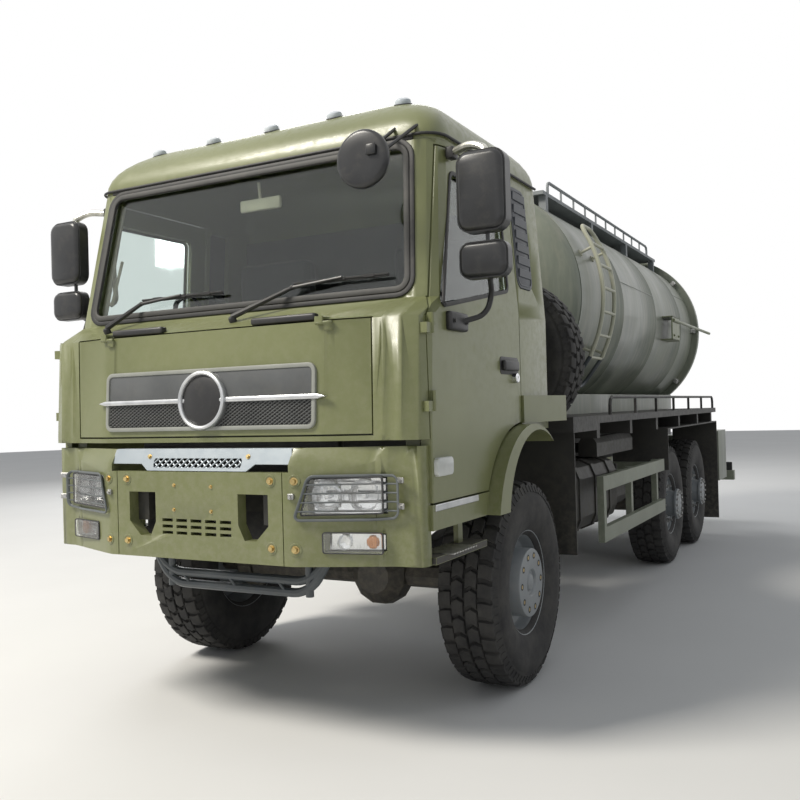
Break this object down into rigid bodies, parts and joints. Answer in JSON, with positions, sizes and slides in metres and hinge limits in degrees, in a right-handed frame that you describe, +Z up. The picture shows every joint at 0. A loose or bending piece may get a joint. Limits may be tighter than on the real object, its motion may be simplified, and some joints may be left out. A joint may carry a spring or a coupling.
{
  "type": "six-wheel-drive tanker truck",
  "caption": "Six-wheel-drive truck with its cab over the engine and a round tank behind, with a rear tank door that lifts for emptying.",
  "frame": {"origin": "on the ground, in the middle of the truck's length and width", "axes": "+Y towards the rear, +X towards the truck's left side, +Z up"},
  "size_m": [2.86, 9.0242, 3.411],
  "materials": {
    "cab_paint": "semi-gloss olive green",
    "tank_paint": "dusty olive grey",
    "frame_paint": "dark, dusty",
    "tyre_rubber": "dusty",
    "rim_paint": "dusty grey",
    "black_plastic": "matte",
    "clear_glass": "clear",
    "lamp_glass": "ribbed",
    "seat_cloth": "woven",
    "grey_metal": "dusty grey",
    "ladder_paint": "pale cream",
    "engine_iron": "rough"
  },
  "bodies": {
    "chassis": {"air_tanks": "frame_paint", "bumper": "cab_paint", "cab_fittings": "black_plastic", "cab_roof": "cab_paint", "cab_shell": "cab_paint", "cab_steps": "cab_paint", "cradle": "tank_paint", "dashboard": "black_plastic", "drive_line": "frame_paint", "engine": "engine_iron", "frame_brackets": "frame_paint", "frame_rails": "frame_paint", "front_axle": "frame_paint", "front_guards": "grey_metal", "fuel_tank": "grey_metal", "guards": "grey_metal", "ladder": "ladder_paint", "lamps": "lamp_glass", "mudguards": "black_plastic", "outlet": "grey_metal", "rear_axles": "frame_paint", "rim_spare": "rim_paint", "seats": "seat_cloth", "shelves": "tank_paint", "silencer": "frame_paint", "spare_carrier": "frame_paint", "springs": "frame_paint", "subframe": "frame_paint", "tank": "tank_paint", "toolboxes": "tank_paint", "tyre_spare": "tyre_rubber", "walkway": "grey_metal", "wheel_flares": "cab_paint", "windscreen": "clear_glass"},
    "knuckle_left": {"knuckle_left": "frame_paint"},
    "knuckle_right": {"knuckle_right": "frame_paint"},
    "door_left": {"door_left": "cab_paint", "door_glass_left": "clear_glass", "mirror_left": "black_plastic"},
    "door_right": {"door_right": "cab_paint", "door_glass_right": "clear_glass", "mirror_right": "black_plastic"},
    "front_flap": {"front_flap": "cab_paint", "grille": "black_plastic"},
    "tank_door": {"tank_door": "tank_paint"},
    "manhole_lid": {"manhole_lid": "frame_paint"},
    "wheel_front_left": {"tyre_front_left": "tyre_rubber", "rim_front_left": "rim_paint"},
    "wheel_front_right": {"tyre_front_right": "tyre_rubber", "rim_front_right": "rim_paint"},
    "wheel_middle_left": {"tyre_middle_left": "tyre_rubber", "rim_middle_left": "rim_paint"},
    "wheel_middle_right": {"tyre_middle_right": "tyre_rubber", "rim_middle_right": "rim_paint"},
    "wheel_rear_left": {"tyre_rear_left": "tyre_rubber", "rim_rear_left": "rim_paint"},
    "wheel_rear_right": {"tyre_rear_right": "tyre_rubber", "rim_rear_right": "rim_paint"}
  },
  "joints": [
    {"name": "steer_left", "type": "hinge", "parent": "chassis", "child": "knuckle_left", "pos_m": [0.745, -3.074, 0.56], "axis": [0, 0, 1], "range_deg": [-26, 26]},
    {"name": "spin_front_left", "type": "hinge", "parent": "knuckle_left", "child": "wheel_front_left", "pos_m": [0.97, -3.074, 0.56], "axis": [1, 0, 0], "continuous": true},
    {"name": "spin_middle_left", "type": "hinge", "parent": "chassis", "child": "wheel_middle_left", "pos_m": [0.935, 1.002, 0.56], "axis": [1, 0, 0], "continuous": true},
    {"name": "spin_rear_left", "type": "hinge", "parent": "chassis", "child": "wheel_rear_left", "pos_m": [0.935, 2.312, 0.56], "axis": [1, 0, 0], "continuous": true},
    {"name": "swing_door_left", "type": "hinge", "parent": "chassis", "child": "door_left", "pos_m": [1.144, -4.257, 1.6], "axis": [0, 0, -1], "range_deg": [0, 65]},
    {"name": "steer_right", "type": "hinge", "parent": "chassis", "child": "knuckle_right", "pos_m": [-0.745, -3.074, 0.56], "axis": [0, 0, 1], "range_deg": [-26, 26]},
    {"name": "spin_front_right", "type": "hinge", "parent": "knuckle_right", "child": "wheel_front_right", "pos_m": [-0.97, -3.074, 0.56], "axis": [1, 0, 0], "continuous": true},
    {"name": "spin_middle_right", "type": "hinge", "parent": "chassis", "child": "wheel_middle_right", "pos_m": [-0.935, 1.002, 0.56], "axis": [1, 0, 0], "continuous": true},
    {"name": "spin_rear_right", "type": "hinge", "parent": "chassis", "child": "wheel_rear_right", "pos_m": [-0.935, 2.312, 0.56], "axis": [1, 0, 0], "continuous": true},
    {"name": "swing_door_right", "type": "hinge", "parent": "chassis", "child": "door_right", "pos_m": [-1.144, -4.257, 1.6], "axis": [0, 0, 1], "range_deg": [0, 65]},
    {"name": "lift_front_flap", "type": "hinge", "parent": "chassis", "child": "front_flap", "pos_m": [0, -4.409, 1.927], "axis": [-1, 0, 0], "range_deg": [0, 80]},
    {"name": "lift_tank_door", "type": "hinge", "parent": "chassis", "child": "tank_door", "pos_m": [0, 3.486, 3.391], "axis": [1, 0, 0], "range_deg": [0, 75]},
    {"name": "lift_manhole_lid", "type": "hinge", "parent": "chassis", "child": "manhole_lid", "pos_m": [0, 1.37, 3.3783], "axis": [-1, 0, 0], "range_deg": [0, 105]}
  ],
  "couplings": [
    {"joint": "steer_right", "follows": "steer_left", "ratio": 1}
  ]
}
